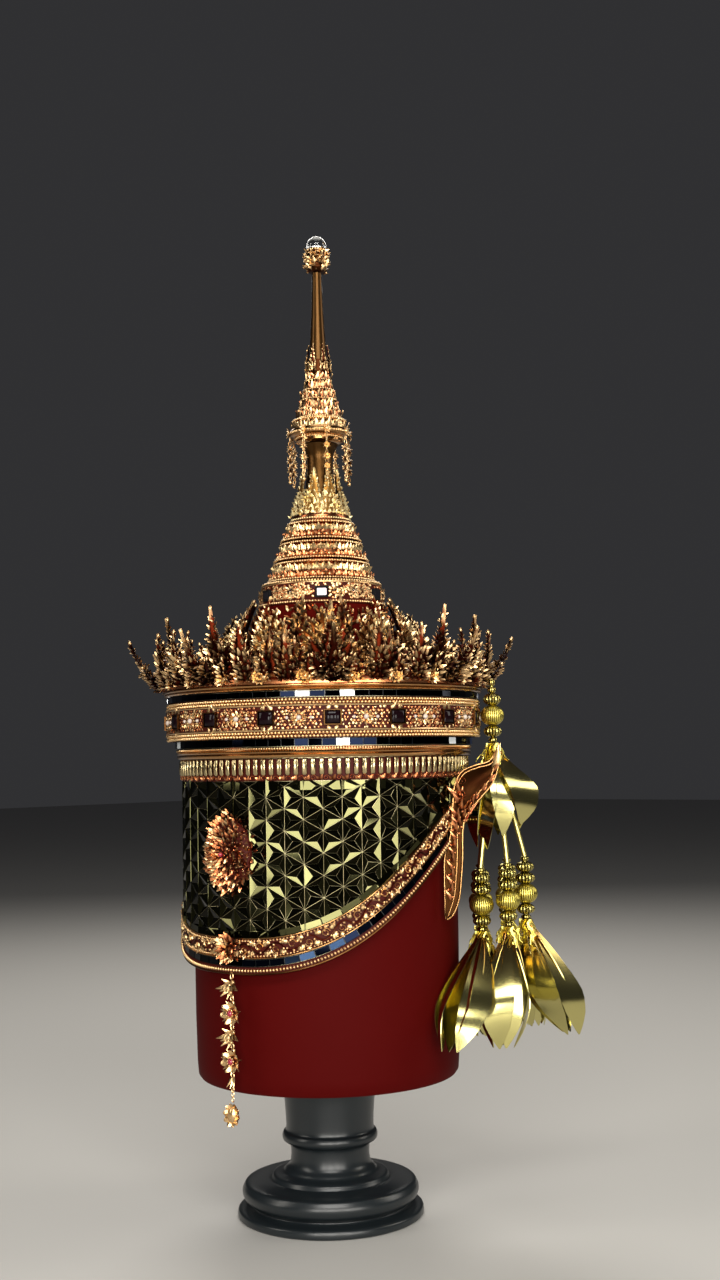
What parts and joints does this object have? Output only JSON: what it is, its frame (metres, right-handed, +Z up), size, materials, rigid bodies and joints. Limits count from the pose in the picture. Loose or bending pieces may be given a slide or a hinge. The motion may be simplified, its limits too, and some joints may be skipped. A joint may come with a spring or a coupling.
{
  "type": "dance crown on display stand",
  "caption": "Tall spired dance crown of gilt metal and mirror mosaic with flame-leaf cresting, ear ornaments and a side tassel, on a red drum with a turned foot.",
  "frame": {"origin": "centre of the stand's foot, on the surface it stands on", "axes": "+Z up along the spire, -Y towards the wearer's front, -X towards the wearer's right"},
  "size_m": [0.2656, 0.256, 0.6487],
  "materials": {
    "gilt": "antique gilt, red-brown in the recesses",
    "polished_gold": "polished gold",
    "foil_gold": "thin brushed gold foil and gold-wound beads",
    "dark_mirror": "dark mirror mosaic of small triangular facets",
    "blue_mirror": "blue-black mirror tiles",
    "red_lacquer": "red lacquer",
    "red_paint": "smooth dark red satin paint",
    "black_lacquer": "black satin lacquer",
    "crystal": "clear cut crystal"
  },
  "bodies": {
    "root": {"back_medallion": "gilt", "beaded_moulding": "polished_gold", "cap_wall": "dark_mirror", "cornice_ring": "polished_gold", "cresting_inner": "gilt", "cresting_outer": "gilt", "dome": "red_lacquer", "dome_leaves": "gilt", "ear_ornament_left": "gilt", "ear_ornament_right": "gilt", "edge_bead_rope": "gilt", "edge_mirror_strip": "blue_mirror", "edge_rosette": "gilt", "finial_cup": "gilt", "finial_gem": "crystal", "gadroon_band": "gilt", "jewel_band": "gilt", "jewel_collar": "gilt", "leaf_collar": "gilt", "lower_mirror_strip": "blue_mirror", "nape_drop": "gilt", "nape_flower_1": "gilt", "nape_flower_2": "gilt", "nape_spray_1": "gilt", "nape_spray_2": "gilt", "parasol": "gilt", "scroll_trim": "gilt", "spire_chain_1": "gilt", "spire_chain_2": "gilt", "spire_chain_3": "gilt", "spire_chain_4": "gilt", "spire_chain_5": "gilt", "spire_chain_6": "gilt", "spire_chain_7": "gilt", "spire_chain_8": "gilt", "spire_cone": "gilt", "spire_neck": "polished_gold", "spire_rod": "polished_gold", "spire_tier_1": "gilt", "spire_tier_2": "gilt", "spire_tier_3": "gilt", "stand_block": "red_paint", "stand_pedestal": "black_lacquer", "tassel_flower_1": "foil_gold", "tassel_flower_2": "foil_gold", "tassel_flower_3": "foil_gold", "tassel_flower_4": "foil_gold", "tassel_flower_5": "foil_gold", "tassel_string_1": "foil_gold", "tassel_string_2": "foil_gold", "tassel_string_3": "foil_gold", "tassel_string_4": "foil_gold", "tassel_string_5": "foil_gold", "tassel_top_flower": "foil_gold", "tassel_top_string": "foil_gold", "upper_mirror_strip": "blue_mirror"}
  },
  "joints": []
}
